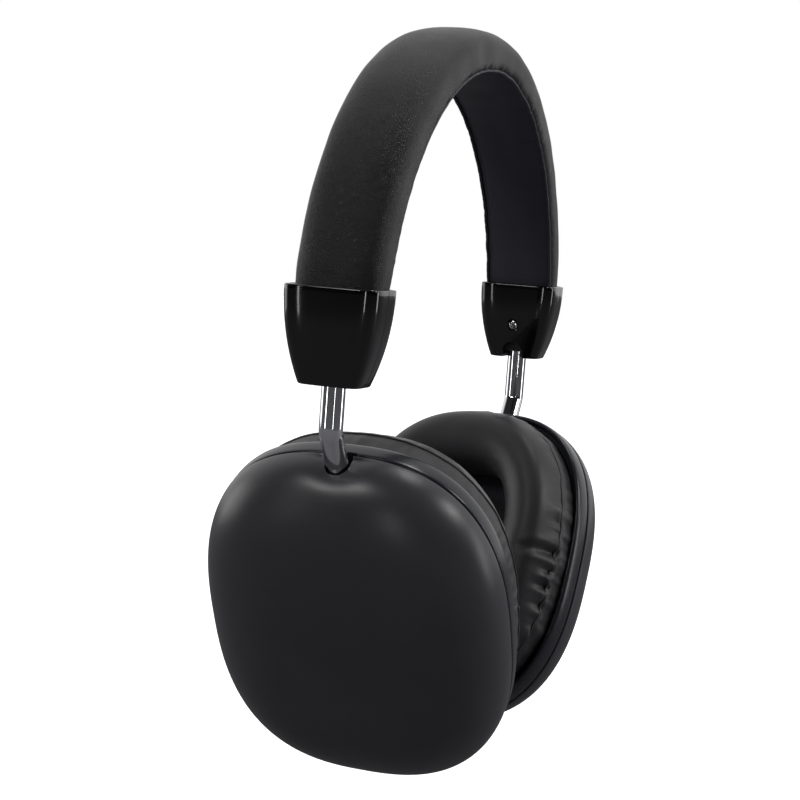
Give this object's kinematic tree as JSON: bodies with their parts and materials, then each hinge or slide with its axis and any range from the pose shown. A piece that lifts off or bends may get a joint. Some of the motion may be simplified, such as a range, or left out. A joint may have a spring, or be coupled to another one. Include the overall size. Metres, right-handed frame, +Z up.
{
  "type": "over-ear headphones",
  "caption": "Closed over-ear headphones with a padded leather arch, gloss end caps, chromed telescopic rods and domed cups that swivel and tilt.",
  "frame": {"origin": "middle of the inner face of the padded arch, at the crown, where it rests on the head", "axes": "+Z up out of the top of the arch, +X towards the wearer's left ear, the wearer faces -Y"},
  "size_m": [0.1574, 0.0783, 0.1911],
  "materials": {
    "circuit_board": "solder mask",
    "battery_wrap": "heat-shrink wrap",
    "chrome": "polished",
    "clear_plastic": "clear",
    "black_leather": "pebbled polyurethane leather, satin",
    "driver_steel": "satin",
    "diaphragm_film": "satin film",
    "foam": "matte foam",
    "gloss_black": "polished",
    "dark_nylon": "matte",
    "lining_leather": "smooth polyurethane leather, satin",
    "grille_cloth": "fine woven cloth",
    "socket_metal": "plain",
    "screw_steel": "plain",
    "satin_black": "fine texture, satin",
    "socket_plastic": "moulded",
    "spring_steel": "brushed",
    "wire_sheath": "matte"
  },
  "bodies": {
    "headband": {"headband_cover": "black_leather", "headband_lining": "lining_leather", "headband_foam": "foam", "headband_spring": "spring_steel", "headband_cable": "wire_sheath", "end_cap_outer_left": "gloss_black", "end_cap_outer_right": "gloss_black", "end_cap_inner_left": "gloss_black", "end_cap_inner_right": "gloss_black", "end_cap_screws": "chrome", "slider_guide_left": "dark_nylon", "slider_guide_right": "dark_nylon", "friction_spring_left": "spring_steel", "friction_spring_right": "spring_steel"},
    "slider_left": {"slider_rod_left": "chrome", "slider_stop_left": "dark_nylon", "rod_clip_left": "screw_steel"},
    "pivot_left": {"pivot_block_left": "dark_nylon"},
    "cup_left": {"cup_shell_left": "satin_black", "baffle_left": "socket_plastic", "pivot_cradle_left": "dark_nylon", "cradle_screws_left": "screw_steel", "baffle_screws_left": "screw_steel", "pad_plate_left": "dark_nylon", "ear_pad_cover_left": "black_leather", "ear_pad_foam_left": "foam", "driver_basket_left": "driver_steel", "driver_magnet_left": "socket_metal", "driver_diaphragm_left": "diaphragm_film", "driver_mesh_left": "grille_cloth", "main_board": "circuit_board", "aux_socket": "socket_plastic", "usb_socket": "socket_metal", "button_board": "circuit_board", "light_pipe": "clear_plastic", "microphone": "socket_metal"},
    "slider_right": {"slider_rod_right": "chrome", "slider_stop_right": "dark_nylon", "rod_clip_right": "screw_steel"},
    "pivot_right": {"pivot_block_right": "dark_nylon"},
    "cup_right": {"cup_shell_right": "satin_black", "baffle_right": "socket_plastic", "pivot_cradle_right": "dark_nylon", "cradle_screws_right": "screw_steel", "baffle_screws_right": "screw_steel", "pad_plate_right": "dark_nylon", "ear_pad_cover_right": "black_leather", "ear_pad_foam_right": "foam", "driver_basket_right": "driver_steel", "driver_magnet_right": "socket_metal", "driver_diaphragm_right": "diaphragm_film", "driver_mesh_right": "grille_cloth", "battery": "battery_wrap"},
    "power_button": {"power_button": "gloss_black"},
    "volume_up_button": {"volume_up_button": "gloss_black"},
    "volume_down_button": {"volume_down_button": "gloss_black"}
  },
  "joints": [
    {"name": "right_extension", "type": "slide", "parent": "headband", "child": "slider_right", "axis": [0, 0, -1], "range_m": [-0.0087, 0.0119]},
    {"name": "right_swivel", "type": "hinge", "parent": "slider_right", "child": "pivot_right", "pos_m": [-0.0631, 0, -0.10231], "axis": [-0.3469, 0, 0.9379], "range_deg": [-9.5, 88.5]},
    {"name": "right_tilt", "type": "hinge", "parent": "pivot_right", "child": "cup_right", "pos_m": [-0.0631, 0, -0.10231], "axis": [0.0246, -0.9997, 0.0091], "range_deg": [-3, 7]},
    {"name": "left_extension", "type": "slide", "parent": "headband", "child": "slider_left", "axis": [0, 0, -1], "range_m": [-0.0109, 0.0097]},
    {"name": "left_swivel", "type": "hinge", "parent": "slider_left", "child": "pivot_left", "pos_m": [0.0631, 0, -0.10451], "axis": [-0.3469, 0, -0.9379], "range_deg": [-24.8, 73.2]},
    {"name": "left_tilt", "type": "hinge", "parent": "pivot_left", "child": "cup_left", "pos_m": [0.0631, 0, -0.10451], "axis": [0.2711, 0.9573, -0.1003], "range_deg": [-3, 7]},
    {"name": "power_button_press", "type": "slide", "parent": "cup_left", "child": "power_button", "axis": [-0.2711, -0.9573, 0.1003], "range_m": [0, 0.0005]},
    {"name": "volume_up_button_press", "type": "slide", "parent": "cup_left", "child": "volume_up_button", "axis": [-0.2711, -0.9573, 0.1003], "range_m": [0, 0.0005]},
    {"name": "volume_down_button_press", "type": "slide", "parent": "cup_left", "child": "volume_down_button", "axis": [-0.2711, -0.9573, 0.1003], "range_m": [0, 0.0005]}
  ]
}
